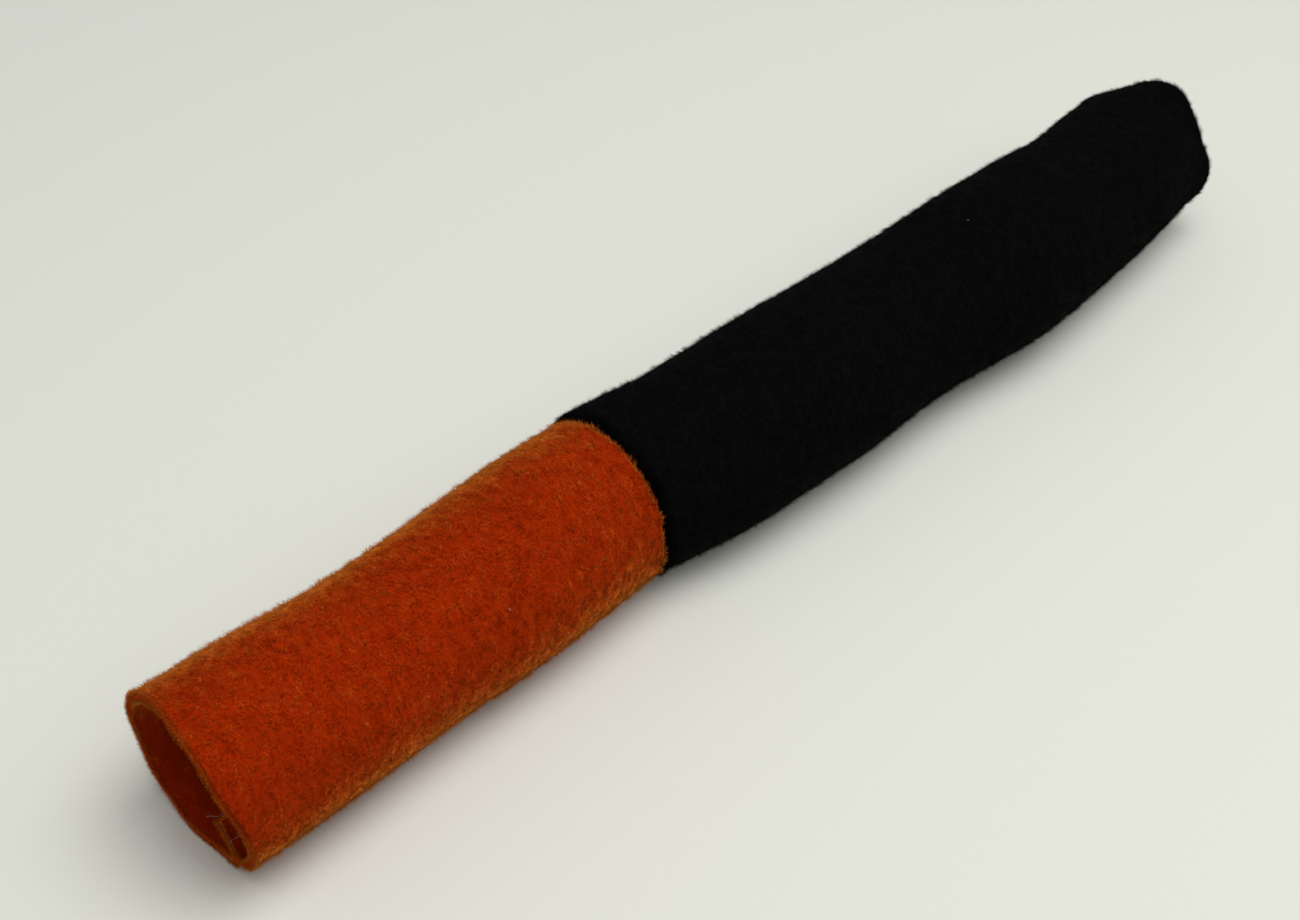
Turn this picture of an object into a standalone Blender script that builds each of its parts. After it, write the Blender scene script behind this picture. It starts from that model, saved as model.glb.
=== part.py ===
"""A soft crayon sewn from two fleece panels: an open orange sleeve and a stuffed black sleeve.

Each panel is rolled into a tube, right side out, and its long edges meet in a seam whose
allowances stand inside the tube as a double fin.  The two tubes are sewn end to end, with their
end allowances turned inward face to face.  The far end of the black tube is gathered on a thread
into a short neck that points inward, and loose fibre fills the black half.

The tube lies along X with its open mouth at -X.  Sizes are in millimetres, scaled by MM.
"""
import math

import bmesh
import bpy

MM = 0.001

# Sleeves
MOUTH_RADIUS = 19.0      # outer radius at the open mouth
ORANGE_LENGTH = 105.0    # mouth to join
BLACK_LENGTH = 215.0     # join to the far end
FLEECE = 1.6             # thickness of the napped fabric
MOUTH_SLANT = 1.5        # how far the cut edge of the mouth runs back on the seam side
MOUTH_SLANT_REACH = 30.0
RESTING_SAG = 0.7        # how much the soft tube flattens where it rests

# Swelling of the radius and sideways sway of the centre line, at even steps along each sleeve
ORANGE_SWELL = (0.0, 0.2, -0.4, -0.4, 0.2, 0.4, 0.0)
ORANGE_SWAY = (0.0, 0.4, 0.5, 1.1, 1.0, 1.9, 3.2)
BLACK_SWELL = (0.6, 1.3, 1.8, 2.0, 1.4, 1.7, 2.7, 2.3, 1.3, 1.3, 0.8)
BLACK_SWAY = (3.2, 0.2, -0.9, -1.4, -0.5, -1.2, -2.2, -1.2, 0.2, 3.0, 6.0)

# Long seams
SEAM_FROM_DOWN = 35.0    # angle from straight down towards -Y, in degrees
SEAM_GAP = 0.3           # space left between two fabric faces that are sewn together
SEAM_ROLL = 2.0          # radius at mid fabric where the tube rolls into the seam
FIN = 7.0                # height of the seam allowance inside the tube
FIN_STUB = 0.9           # what is left of it where it is trimmed
FIN_TRIM_START = 16.0    # distance from a sewn end where trimming starts
FIN_TRIM_END = 9.0       # distance from a sewn end where the seam lies flat

# Join and gathered tip
FOLD_RADIUS = 1.0        # radius at mid fabric where an end allowance folds inward
JOIN_ALLOWANCE = 6.0     # depth of each end allowance
FOLD_START_DIP = 1e-6     # keeps a folded row just under the open tube
TIP_DEPTH = 8.5          # how far the rounded tip reaches beyond the straight tube
TIP_POWER = 2.4          # exponent of the tip's superellipse
NECK_HOLE = 0.9          # radius left in the middle of the drawn-up neck
NECK_TURN = 0.4          # inner radius where the tip turns into the neck
NECK_LENGTH = 4.5
TIP_FOLDS = 7
TIP_FOLD_HEIGHT = 0.5

# Threads and filling
THREAD_RADIUS = 0.2
THREAD_START = 3.0       # distance of the first stitch from the mouth
STITCH_DEPTH = 1.2       # distance of a stitch line from its fold
CLEARANCE = 0.3          # space between pieces that touch
FILLING_CLEARANCE = 0.6  # space between the filling and the sleeve round it
SLOT_SPARE = 1.2         # extra room between the filling's slot and the seam threads
KNOT_RADIUS = 0.7

# Facets
ROUND_FACETS = 28
ROLL_FACETS = 3
FIN_FACETS = 2
FOLD_FACETS = 3
TIP_FACETS = 6
ORANGE_STATIONS = 11
BLACK_STATIONS = 20
FILLING_STATIONS = 16
RING_FACETS = 36
NECK_RING_FACETS = 20

LENGTH = ORANGE_LENGTH + BLACK_LENGTH
SEAM_U = (-math.sin(math.radians(SEAM_FROM_DOWN)), -math.cos(math.radians(SEAM_FROM_DOWN)))
SEAM_V = (-SEAM_U[1], SEAM_U[0])
STITCH_OFF = CLEARANCE + THREAD_RADIUS
FIN_SIDE = SEAM_GAP / 2 + FLEECE
FOLD_OUTER = FOLD_RADIUS + FLEECE / 2
TIP_START = LENGTH - TIP_DEPTH
FLOOR = -MOUTH_RADIUS + RESTING_SAG


def clear_scene():
    for old in list(bpy.data.objects):
        bpy.data.objects.remove(old, do_unlink=True)


def clamp(value, low=0.0, high=1.0):
    return max(low, min(high, value))


def ease(value):
    value = clamp(value)
    return value * value * (3 - 2 * value)


def along(values, share):
    """Smooth (Catmull-Rom) value at a share 0..1 of a list of evenly spaced values."""
    place = clamp(share) * (len(values) - 1)
    i = min(int(place), len(values) - 2)
    t = place - i
    a, b = values[max(i - 1, 0)], values[i]
    c, d = values[i + 1], values[min(i + 2, len(values) - 1)]
    return b + 0.5 * t * (c - a + t * (2 * a - 5 * b + 4 * c - d + t * (3 * (b - c) + d - a)))


def tube_radius(x):
    if x < ORANGE_LENGTH:
        return MOUTH_RADIUS + along(ORANGE_SWELL, x / ORANGE_LENGTH)
    return MOUTH_RADIUS + along(BLACK_SWELL, (x - ORANGE_LENGTH) / (TIP_START - ORANGE_LENGTH))


def tube_centre(x):
    """Sideways and upward place of the centre line, so that the tube lies along the floor."""
    if x < ORANGE_LENGTH:
        sway = along(ORANGE_SWAY, x / ORANGE_LENGTH)
    else:
        sway = along(BLACK_SWAY, (x - ORANGE_LENGTH) / BLACK_LENGTH)
    return sway, tube_radius(x) - MOUTH_RADIUS


def join_distance(x):
    """Distance to the nearest sewn end: the join, or the start of the rounded tip."""
    return min(abs(x - ORANGE_LENGTH), abs(TIP_START - x))


def panel_outline(radius, fin, flat):
    """Right side of a panel round the tube, as (u, v) points with u towards the seam.

    It runs from one cut edge, up its fin, round the tube and down the other fin.  flat goes
    from 0, a full seam roll with fins, to 1, where the two edges only meet on the round.
    """
    half = SEAM_GAP / 2
    roll = SEAM_ROLL + FLEECE / 2
    centre_v = half + roll
    centre_u = math.sqrt(max((radius - roll) ** 2 - centre_v ** 2, 0.01)) if flat < 1 else 0.0
    meet = math.atan2(centre_v, centre_u) if flat < 1 else 2 * centre_v / max(radius, 2 * centre_v)
    seam_side = []
    for i in range(FIN_FACETS):
        seam_side.append((centre_u - fin * (1 - i / FIN_FACETS), half))
    for i in range(ROLL_FACETS):
        turn = -math.pi / 2 + (meet + math.pi / 2) * i / ROLL_FACETS
        seam_side.append((centre_u + roll * math.cos(turn), centre_v + roll * math.sin(turn)))
    edge = math.asin(clamp(half / radius, 0.0, 0.9))
    points = []
    for i, (u, v) in enumerate(seam_side):
        angle = edge + (meet - edge) * i / len(seam_side)
        points.append((u + (radius * math.cos(angle) - u) * flat,
                       v + (radius * math.sin(angle) - v) * flat))
    for i in range(ROUND_FACETS // 2 + 1):
        angle = meet + (math.pi - meet) * 2 * i / ROUND_FACETS
        points.append((radius * math.cos(angle), radius * math.sin(angle)))
    mirrored = [(u, -v) for u, v in reversed(points[:-1])]
    return points + mirrored


def place(u, v, x, floor, ripple=0.0):
    """World point, in millimetres from the mouth, of a section point at x."""
    sway, rise = tube_centre(x)
    across = u * SEAM_U[0] + v * SEAM_V[0]
    up = u * SEAM_U[1] + v * SEAM_V[1]
    swell = 1 + ripple * math.cos(TIP_FOLDS * math.atan2(v, u))
    slant = MOUTH_SLANT * clamp(1 - x / MOUTH_SLANT_REACH)
    back = slant * (1 + math.cos(math.atan2(v, u))) / 2
    return x + back, sway + across * swell, max(rise + up * swell, floor)


def panel_row(x, radius):
    """One row of panel points; radius is given where it differs from the open tube's."""
    distance = join_distance(x)
    flat = ease((FIN_TRIM_START - distance) / (FIN_TRIM_START - FIN_TRIM_END) * 2 - 1)
    trim = ease((FIN_TRIM_START - distance) / (FIN_TRIM_START - FIN_TRIM_END) * 2)
    fin = FIN + (FIN_STUB - FIN) * trim
    if x > TIP_START or radius < tube_radius(x):
        flat = 1.0
    into_tip = ease((x - TIP_START) / TIP_DEPTH * 1.5) if radius > NECK_HOLE * 4 else 0.0
    ripple = TIP_FOLD_HEIGHT * into_tip / max(radius, 1.0)
    points = panel_outline(radius, fin, flat)
    return [place(u, v, x, FLOOR, ripple) for u, v in points]


def even_steps(start, end, count):
    return [start + (end - start) * i / (count - 1) for i in range(count)]


def fold_rows(x_face, direction):
    """Rows of an end allowance folded inward; direction is +1 where the tube ends towards +X."""
    x_arc = x_face - direction * FOLD_OUTER
    full = tube_radius(x_arc)
    rows = []
    for i in range(1, FOLD_FACETS + 1):
        turn = math.pi / 2 * i / FOLD_FACETS
        x = x_arc + direction * FOLD_OUTER * math.sin(turn)
        rows.append(panel_row(x, full - FOLD_OUTER * (1 - math.cos(turn)) - FOLD_START_DIP))
    rows.append(panel_row(x_face, full - FOLD_OUTER - JOIN_ALLOWANCE))
    return rows


def tip_profile():
    """(x, radius) of the gathered tip's right side, from the straight tube into the neck."""
    full = tube_radius(TIP_START)
    turn_outer = NECK_TURN + FLEECE
    last = math.acos(((NECK_HOLE + turn_outer) / full) ** (TIP_POWER / 2))
    profile = []
    for i in range(1, TIP_FACETS + 1):
        angle = last * i / TIP_FACETS
        x = TIP_START + TIP_DEPTH * math.sin(angle) ** (2 / TIP_POWER)
        profile.append((x, full * math.cos(angle) ** (2 / TIP_POWER)))
    x_turn = profile[-1][0] - turn_outer
    for i in range(1, FOLD_FACETS + 1):
        turn = math.pi / 2 * i / FOLD_FACETS
        profile.append((x_turn + turn_outer * math.cos(turn),
                        NECK_HOLE + turn_outer * (1 - math.sin(turn))))
    profile.append((x_turn - NECK_LENGTH, NECK_HOLE))
    return profile


def material(name, colour, roughness):
    made = bpy.data.materials.new(name)
    made.use_nodes = True
    shader = made.node_tree.nodes["Principled BSDF"]
    shader.inputs["Base Color"].default_value = (*colour, 1)
    shader.inputs["Roughness"].default_value = roughness
    shader.inputs["Metallic"].default_value = 0.0
    return made


def add_object(name, data, finish):
    data.materials.append(finish)
    made = bpy.data.objects.new(name, data)
    bpy.context.scene.collection.objects.link(made)
    return made


def make_panel(name, rows, finish):
    """A fabric panel: its right side as a grid of rows, thickened inward to the fleece."""
    shape = bmesh.new()
    grid = [[shape.verts.new([c * MM for c in point]) for point in row] for row in rows]
    for near, far in zip(grid, grid[1:]):
        for i in range(len(near) - 1):
            shape.faces.new((near[i], near[i + 1], far[i + 1], far[i]))
    mesh = bpy.data.meshes.new(name)
    shape.to_mesh(mesh)
    shape.free()
    panel = add_object(name, mesh, finish)
    thicken = panel.modifiers.new("fleece", "SOLIDIFY")
    thicken.thickness = FLEECE * MM
    thicken.offset = -1
    thicken.use_even_offset = True
    return panel


def make_orange_sleeve(finish):
    x_face = ORANGE_LENGTH - SEAM_GAP / 2
    rows = [panel_row(x, tube_radius(x))
            for x in even_steps(0.0, x_face - FOLD_OUTER, ORANGE_STATIONS)]
    return make_panel("orange_sleeve", rows + fold_rows(x_face, 1), finish)


def make_black_sleeve(finish):
    x_face = ORANGE_LENGTH + SEAM_GAP / 2
    rows = list(reversed(fold_rows(x_face, -1)))
    rows += [panel_row(x, tube_radius(x))
             for x in even_steps(x_face + FOLD_OUTER, TIP_START, BLACK_STATIONS)]
    rows += [panel_row(x, radius) for x, radius in tip_profile()]
    return make_panel("black_sleeve", rows, finish)


def make_thread(name, points, closed, finish, radii=None):
    """A thread as a round tube along points given in millimetres."""
    curve = bpy.data.curves.new(name, "CURVE")
    curve.dimensions = "3D"
    curve.bevel_depth = THREAD_RADIUS * MM
    curve.bevel_resolution = 1
    curve.use_fill_caps = not closed
    spline = curve.splines.new("POLY")
    spline.points.add(len(points) - 1)
    spline.use_cyclic_u = closed
    for i, point in enumerate(points):
        spline.points[i].co = (*[c * MM for c in point], 1)
        spline.points[i].radius = radii[i] if radii else 1.0
    return add_object(name, curve, finish)


def seam_thread(name, start, end, count, side, finish):
    """The thread that lies along one side of a long seam's fin; side is +1 or -1."""
    points = []
    for x in even_steps(start, end, count):
        roll = SEAM_ROLL + FLEECE / 2
        root = math.sqrt((tube_radius(x) - roll) ** 2 - (SEAM_GAP / 2 + roll) ** 2)
        points.append(place(root - STITCH_DEPTH, side * (FIN_SIDE + STITCH_OFF), x, FLOOR))
    return make_thread(name, points, False, finish)


def ring_thread(name, x, radius, facets, finish, knot=False):
    points, radii = [], []
    for i in range(facets):
        angle = 2 * math.pi * i / facets
        points.append(place(radius * math.cos(angle), radius * math.sin(angle), x,
                            FLOOR + FLEECE + 2 * STITCH_OFF))
        radii.append(1.0)
    if knot:
        radii[0] = KNOT_RADIUS / THREAD_RADIUS
    return make_thread(name, points, True, finish, radii)


def filling_outline(radius, flat):
    """Outline of the filling: round, with a slot that clears the fin and its two threads."""
    half = FIN_SIDE + 2 * STITCH_OFF + SLOT_SPARE
    corner = math.asin(half / radius)
    depth = SEAM_ROLL + FIN
    slot = [(radius - depth, 0.0), (radius - depth, half), (radius - depth / 2, half)]
    points = []
    for i, (u, v) in enumerate(slot):
        angle = corner * i / len(slot)
        points.append((u + (radius * math.cos(angle) - u) * flat,
                       v + (radius * math.sin(angle) - v) * flat))
    for i in range(ROUND_FACETS // 2 + 1):
        angle = corner + (math.pi - corner) * 2 * i / ROUND_FACETS
        points.append((radius * math.cos(angle), radius * math.sin(angle)))
    return points + [(u, -v) for u, v in reversed(points[1:-1])]


def make_filling(finish):
    """Loose fibre packed into the black sleeve, from behind the join to the tip."""
    start = ORANGE_LENGTH + SEAM_GAP / 2 + FLEECE + 2 * STITCH_OFF
    wall = FLEECE + FILLING_CLEARANCE
    floor = FLOOR + wall
    stations = []
    for x in even_steps(start, TIP_START, FILLING_STATIONS):
        stations.append((x, tube_radius(x) - wall))
    first_radius = stations[0][1]
    stations.insert(0, (start, first_radius * 0.6))
    neck_end = tip_profile()[-1][0]
    full = tube_radius(TIP_START) - wall
    reach = TIP_DEPTH - wall - TIP_FOLD_HEIGHT
    for i in range(1, 4):
        angle = math.radians(18 * i)
        stations.append((TIP_START + reach * math.sin(angle) ** (2 / TIP_POWER),
                         full * math.cos(angle) ** (2 / TIP_POWER)))
    inner = NECK_HOLE + FLEECE + 4 * THREAD_RADIUS + KNOT_RADIUS + CLEARANCE
    stations.append((neck_end - CLEARANCE * 2, inner))
    shape = bmesh.new()
    rings = []
    for x, radius in stations:
        flat = 1.0 if x > TIP_START or radius < first_radius * 0.9 else 0.0
        ripple = TIP_FOLD_HEIGHT * ease((x - TIP_START) / TIP_DEPTH) / radius
        points = filling_outline(radius, flat)
        rings.append([shape.verts.new([c * MM for c in place(u, v, x, floor, ripple)])
                      for u, v in points])
    for near, far in zip(rings, rings[1:]):
        for i, vert in enumerate(near):
            j = (i + 1) % len(near)
            shape.faces.new((vert, near[j], far[j], far[i]))
    shape.faces.new(rings[0])
    shape.faces.new(rings[-1])
    bmesh.ops.recalc_face_normals(shape, faces=shape.faces)
    mesh = bpy.data.meshes.new("fibre_filling")
    shape.to_mesh(mesh)
    shape.free()
    return add_object("fibre_filling", mesh, finish)


def centre_on_floor():
    """Move every piece so that the middle of the whole object's underside is the origin."""
    bpy.context.view_layer.update()
    graph = bpy.context.evaluated_depsgraph_get()
    points = []
    for item in bpy.data.objects:
        shown = item.evaluated_get(graph)
        points += [tuple(v.co) for v in shown.to_mesh().vertices]
        shown.to_mesh_clear()
    xs, ys, zs = zip(*points)
    shift = (-(min(xs) + max(xs)) / 2, -(min(ys) + max(ys)) / 2, -min(zs))
    for item in bpy.data.objects:
        item.location = shift


def main():
    clear_scene()
    orange = material("orange fleece", (0.42, 0.06, 0.005), 0.95)
    black = material("black fleece", (0.012, 0.012, 0.013), 0.95)
    white = material("polyester fibre", (0.80, 0.79, 0.76), 0.80)
    orange_thread = material("orange thread", (0.50, 0.09, 0.01), 0.60)
    black_thread = material("black thread", (0.02, 0.02, 0.02), 0.60)

    make_orange_sleeve(orange)
    make_black_sleeve(black)
    make_filling(white)

    orange_end = ORANGE_LENGTH - FIN_TRIM_START
    black_start = ORANGE_LENGTH + FIN_TRIM_START
    black_end = TIP_START - FIN_TRIM_START
    for kind, side in (("needle", 1), ("bobbin", -1)):
        seam_thread(f"orange_seam_{kind}_thread", THREAD_START, orange_end, ORANGE_STATIONS,
                    side, orange_thread)
        seam_thread(f"black_seam_{kind}_thread", black_start, black_end, BLACK_STATIONS,
                    side, black_thread)

    join_radius = tube_radius(ORANGE_LENGTH) - FOLD_OUTER - STITCH_DEPTH
    join_off = SEAM_GAP / 2 + FLEECE + STITCH_OFF
    ring_thread("join_seam_needle_thread", ORANGE_LENGTH - join_off, join_radius, RING_FACETS,
                black_thread)
    ring_thread("join_seam_bobbin_thread", ORANGE_LENGTH + join_off, join_radius, RING_FACETS,
                black_thread)
    neck_end = tip_profile()[-1][0]
    ring_thread("gathering_thread", neck_end + NECK_LENGTH / 3,
                NECK_HOLE + FLEECE + CLEARANCE + KNOT_RADIUS, NECK_RING_FACETS, black_thread,
                knot=True)
    centre_on_floor()


main()
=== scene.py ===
"""Soft fleece crayon: the finish of every surface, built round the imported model.

Run it as a script in Blender 4.5.  It makes the two fleece sleeves with their nap, cut edge and
seams, the stitches, the fibre filling and the stray fibres, and a plain stage.
"""

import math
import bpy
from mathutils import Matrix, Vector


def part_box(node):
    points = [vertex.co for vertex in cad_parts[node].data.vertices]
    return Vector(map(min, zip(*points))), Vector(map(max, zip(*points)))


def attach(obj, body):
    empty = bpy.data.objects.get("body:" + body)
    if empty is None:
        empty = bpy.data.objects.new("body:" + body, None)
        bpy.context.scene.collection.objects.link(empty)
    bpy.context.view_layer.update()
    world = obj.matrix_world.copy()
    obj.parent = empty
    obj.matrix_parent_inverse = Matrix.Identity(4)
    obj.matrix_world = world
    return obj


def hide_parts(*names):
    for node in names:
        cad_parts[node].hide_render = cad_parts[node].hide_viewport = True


bl_info = {
    "name": "Soft fleece crayon",
    "version": (1, 0, 0),
    "blender": (4, 5, 0),
    "location": "View3D > Sidebar > Crayon",
    "description": "Fleece sleeves, seams, filling and stage of a soft crayon",
    "category": "Add Mesh",
}

import bpy
import numpy as np
from bpy.props import FloatProperty, FloatVectorProperty, IntProperty, PointerProperty
from mathutils import Vector, noise
from mathutils.bvhtree import BVHTree

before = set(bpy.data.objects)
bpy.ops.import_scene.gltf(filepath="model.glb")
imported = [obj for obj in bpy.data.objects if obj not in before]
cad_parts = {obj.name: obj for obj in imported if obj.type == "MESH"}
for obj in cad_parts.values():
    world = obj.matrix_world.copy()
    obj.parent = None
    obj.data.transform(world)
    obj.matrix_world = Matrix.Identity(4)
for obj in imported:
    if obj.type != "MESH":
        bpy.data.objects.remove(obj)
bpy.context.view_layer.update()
MM = 0.001
BODY = "root"
SEED = 7


def srgb(code):
    """Linear colour of an sRGB hex code such as #8B2405."""
    parts = [int(code[i:i + 2], 16) / 255 for i in (1, 3, 5)]
    return tuple(c / 12.92 if c <= 0.04045 else ((c + 0.055) / 1.055) ** 2.4 for c in parts)


# ---------------------------------------------------------------- sizes and colours

def length_property(name, millimetres, text):
    return FloatProperty(name=name, default=millimetres * MM, unit="LENGTH", precision=5,
                         description=text)


def colour_property(name, code, text):
    return FloatVectorProperty(name=name, default=srgb(code), subtype="COLOR", size=3,
                               min=0, max=1, description=text)


class CrayonSizes(bpy.types.PropertyGroup):
    fleece: length_property("Fleece", 1.6, "Thickness of the napped fabric")
    seam_roll: length_property("Seam roll", 2.0, "Radius where the tube rolls into its seam")
    seam_gap: length_property("Seam gap", 0.3, "Space between faces that are sewn together")
    seam_from_down: FloatProperty(name="Seam angle", default=math.radians(35), unit="ROTATION",
                                  description="From straight down towards the front")
    fin: length_property("Fin", 7.0, "Height of the seam allowance inside the tube")
    fold: length_property("Fold", 1.8, "Outer radius where an end allowance folds inward")
    allowance: length_property("Allowance", 6.0, "Depth of the end allowances at the join")
    mouth_slant: length_property("Mouth slant", 1.5, "How far the cut edge runs back below")
    rim_reach: length_property("Rim reach", 2.3, "How far the upper front of the rim droops out")
    tip_depth: length_property("Tip depth", 8.5, "Length of the rounded tip")
    stitch: length_property("Stitch", 2.6, "Length of one stitch")
    thread: length_property("Thread", 0.4, "Diameter of the sewing thread")
    knit_pitch: length_property("Knit pitch", 0.9, "Distance between knit loops at a cut edge")


class CrayonNap(bpy.types.PropertyGroup):
    per_mm2: FloatProperty(name="Tufts per square mm", default=3.6, min=0,
                           description="How close the tufts of nap stand")
    length: length_property("Tuft length", 1.5, "Length of a tuft of nap")
    width: length_property("Tuft width", 0.10, "Width of a tuft at its root")
    lean: FloatProperty(name="Lean", default=0.75, min=0, max=1,
                        description="How flat the nap lies, from upright to pressed flat")
    wisps: IntProperty(name="Wisps", default=30, min=0,
                       description="White fibres that stray into the mouth")


class CrayonColours(bpy.types.PropertyGroup):
    orange: colour_property("Orange", "#9C2702", "Dyed nap of the orange fleece")
    orange_deep: colour_property("Deep orange", "#841A00", "Orange fleece between its tufts")
    # Painted sheen: tuft tips and parts seen edge on are lightened towards this colour; it also tints
    # the shader's sheen.
    orange_tip_sheen: colour_property("Orange tips", "#E8822C", "Tips of the orange tufts")
    orange_knit: colour_property("Orange knit", "#E2460A", "Knit ground at the cut edge")
    black: colour_property("Black", "#0A0A0A", "Dyed nap of the black fleece")
    black_deep: colour_property("Deep black", "#030303", "Black fleece between its tufts")
    # Painted sheen: the black tufts' tips and edge-on parts are lightened towards this colour.
    black_tip_sheen: colour_property("Black tips", "#0C0C0D", "Tips of the black tufts")
    fibre: colour_property("Fibre", "#E6E4DE", "Undyed polyester filling")
    floor: colour_property("Floor", "#E1E2D8", "Pale sheet under the crayon")


def sizes():
    return bpy.context.scene.crayon_sizes


def nap():
    return bpy.context.scene.crayon_nap


def colours():
    return bpy.context.scene.crayon_colours


# ---------------------------------------------------------------- the tube's shape, from the frame

MOUTH_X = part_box("orange_sleeve")[0][0]
JOIN_X = (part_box("orange_sleeve")[1][0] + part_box("black_sleeve")[0][0]) / 2
END_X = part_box("black_sleeve")[1][0]
STATION_STEP = 10 * MM
FOLD_MARGIN = 3.2 * MM


def ease(value):
    value = np.clip(value, 0, 1)
    return value * value * (3 - 2 * value)


def smooth_through(xs, ys, x):
    """Smooth curve through points, read at x."""
    slopes = np.gradient(ys, xs)
    x = np.clip(x, xs[0], xs[-1])
    i = np.clip(np.searchsorted(xs, x) - 1, 0, len(xs) - 2)
    step = xs[i + 1] - xs[i]
    t = (x - xs[i]) / step
    rise = 2 * t ** 3 - 3 * t ** 2 + 1
    return (rise * ys[i] + (1 - rise) * ys[i + 1]
            + (t ** 3 - 2 * t ** 2 + t) * step * slopes[i] + (t ** 3 - t ** 2) * step * slopes[i + 1])


def measured_line(node, start, end):
    """Stations along a sleeve of the frame: x, centre y, centre z and outer radius."""
    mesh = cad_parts[node].data
    tree = BVHTree.FromPolygons([v.co for v in mesh.vertices], [p.vertices for p in mesh.polygons])
    count = max(4, round((end - start) / STATION_STEP) + 1)
    rows = []
    far = 0.2
    for x in np.linspace(start, end, count):
        y_mid, z_mid = 0.0, 20 * MM
        for _ in range(3):
            top = tree.ray_cast(Vector((x, y_mid, far)), Vector((0, 0, -1)))[0].z
            front = tree.ray_cast(Vector((x, -far, z_mid)), Vector((0, 1, 0)))[0].y
            back = tree.ray_cast(Vector((x, far, z_mid)), Vector((0, -1, 0)))[0].y
            y_mid, radius = (front + back) / 2, (back - front) / 2
            z_mid = top - radius
        rows.append((x, y_mid, z_mid, radius))
    return np.array(rows)


class Tube:
    """Centre line and radius of one sleeve, and the direction of its long seam."""

    def __init__(self, node, start, end):
        self.line = measured_line(node, start, end)
        angle = sizes().seam_from_down
        self.u = np.array([-math.sin(angle), -math.cos(angle)])
        self.v = np.array([math.cos(angle), -math.sin(angle)])

    def at(self, x):
        xs, y, z, radius = self.line.T
        return (smooth_through(xs, y, x), smooth_through(xs, z, x),
                smooth_through(xs, radius, x))

    def place(self, x, u, v):
        """World points of section points (u towards the seam, v across it) at x."""
        y, z, _ = self.at(x)
        return np.stack([x + 0 * u, y + u * self.u[0] + v * self.v[0],
                         z + u * self.u[1] + v * self.v[1]], -1)


def orange_tube():
    return Tube("orange_sleeve", MOUTH_X + 3 * MM, JOIN_X - FOLD_MARGIN)


def black_tube():
    return Tube("black_sleeve", JOIN_X + FOLD_MARGIN, END_X - sizes().tip_depth)


FIN_COLUMNS = 9
ROLL_COLUMNS = 9


def outline(radius, fin, flat, round_columns):
    """Right side of a rolled panel: rows of (u, v) from one cut edge round to the other."""
    s = sizes()
    half, roll = s.seam_gap / 2, s.seam_roll + s.fleece / 2
    radius, fin, flat = radius[:, None], fin[:, None], flat[:, None]
    centre_v = half + roll
    centre_u = np.sqrt(np.maximum((radius - roll) ** 2 - centre_v ** 2, 1e-8))
    meet = np.where(flat < 1, np.arctan2(centre_v, centre_u),
                    2 * centre_v / np.maximum(radius, 2 * centre_v))
    fin_share = np.arange(FIN_COLUMNS) / FIN_COLUMNS
    turn = -math.pi / 2 + (meet + math.pi / 2) * np.arange(ROLL_COLUMNS) / ROLL_COLUMNS
    u = np.hstack([centre_u - fin * (1 - fin_share), centre_u + roll * np.cos(turn)])
    v = np.hstack([half + 0 * (fin * fin_share), centre_v + roll * np.sin(turn)])
    edge = np.arcsin(np.clip(half / radius, 0, 0.9))
    angle = edge + (meet - edge) * np.arange(FIN_COLUMNS + ROLL_COLUMNS) / (FIN_COLUMNS + ROLL_COLUMNS)
    u += (radius * np.cos(angle) - u) * flat
    v += (radius * np.sin(angle) - v) * flat
    angle = meet + (math.pi - meet) * np.arange(round_columns + 1) / round_columns
    u = np.hstack([u, radius * np.cos(angle)])
    v = np.hstack([v, radius * np.sin(angle)])
    return np.hstack([u, u[:, -2::-1]]), np.hstack([v, -v[:, -2::-1]])


def grid_normals(points):
    along = np.gradient(points, axis=0)
    round_it = np.gradient(points, axis=1)
    normal = np.cross(round_it, along)
    normal /= np.linalg.norm(normal, axis=-1, keepdims=True) + 1e-12
    middle = points.mean(axis=1, keepdims=True)
    if ((points - middle) * normal).sum() < 0:
        normal = -normal
    return normal


def lumps(points, layers):
    """Noise height at each point; a layer is (wavelength, height)."""
    flat = points.reshape(-1, 3)
    height = np.zeros(len(flat))
    for i, (wavelength, amount) in enumerate(layers):
        shift = Vector((i * 11.3, i * 5.7, i * 3.1))
        height += [amount * noise.noise(Vector(p) / wavelength + shift) for p in flat]
    return height.reshape(points.shape[:-1])


# ---------------------------------------------------------------- mesh helpers

def finish_piece(obj, slot, *nodes):
    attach(obj, BODY)
    if nodes:
        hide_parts(*nodes)
    return obj


def mesh_object(name, points, faces, material):
    """A smooth mesh object; faces are lists of corners, and may differ in their number."""
    mesh = bpy.data.meshes.new(name)
    mesh.from_pydata(points.tolist(), [], faces)
    mesh.shade_smooth()
    mesh.materials.append(material)
    obj = bpy.data.objects.new(name, mesh)
    bpy.context.scene.collection.objects.link(obj)
    return obj


def pick(obj):
    bpy.ops.object.select_all(action="DESELECT")
    obj.select_set(True)
    bpy.context.view_layer.objects.active = obj


def turn_normals_outward(obj):
    pick(obj)
    bpy.ops.object.mode_set(mode="EDIT")
    bpy.ops.mesh.select_all(action="SELECT")
    bpy.ops.mesh.normals_make_consistent(inside=False)
    bpy.ops.object.mode_set(mode="OBJECT")


def panel_object(name, points, material):
    """A grid of points as fabric of the fleece's thickness, right side outward."""
    rows, columns = points.shape[:2]
    index = np.arange(rows * columns).reshape(rows, columns)
    quads = np.stack([index[:-1, :-1], index[:-1, 1:], index[1:, 1:], index[1:, :-1]], -1)
    obj = mesh_object(name, points.reshape(-1, 3), quads.reshape(-1, 4).tolist(), material)
    thicken = obj.modifiers.new("fleece", "SOLIDIFY")
    thicken.thickness = sizes().fleece
    first = obj.data.polygons[len(quads) // 2 * (columns - 1) + columns // 2]
    middle = Vector(points.reshape(-1, 3).mean(axis=0))
    outward = first.normal.dot(first.center - Vector((first.center.x, middle.y, middle.z))) > 0
    thicken.offset = -1 if outward else 1
    thicken.use_flip_normals = not outward
    pick(obj)
    bpy.ops.object.modifier_apply(modifier=thicken.name)
    return obj


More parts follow.
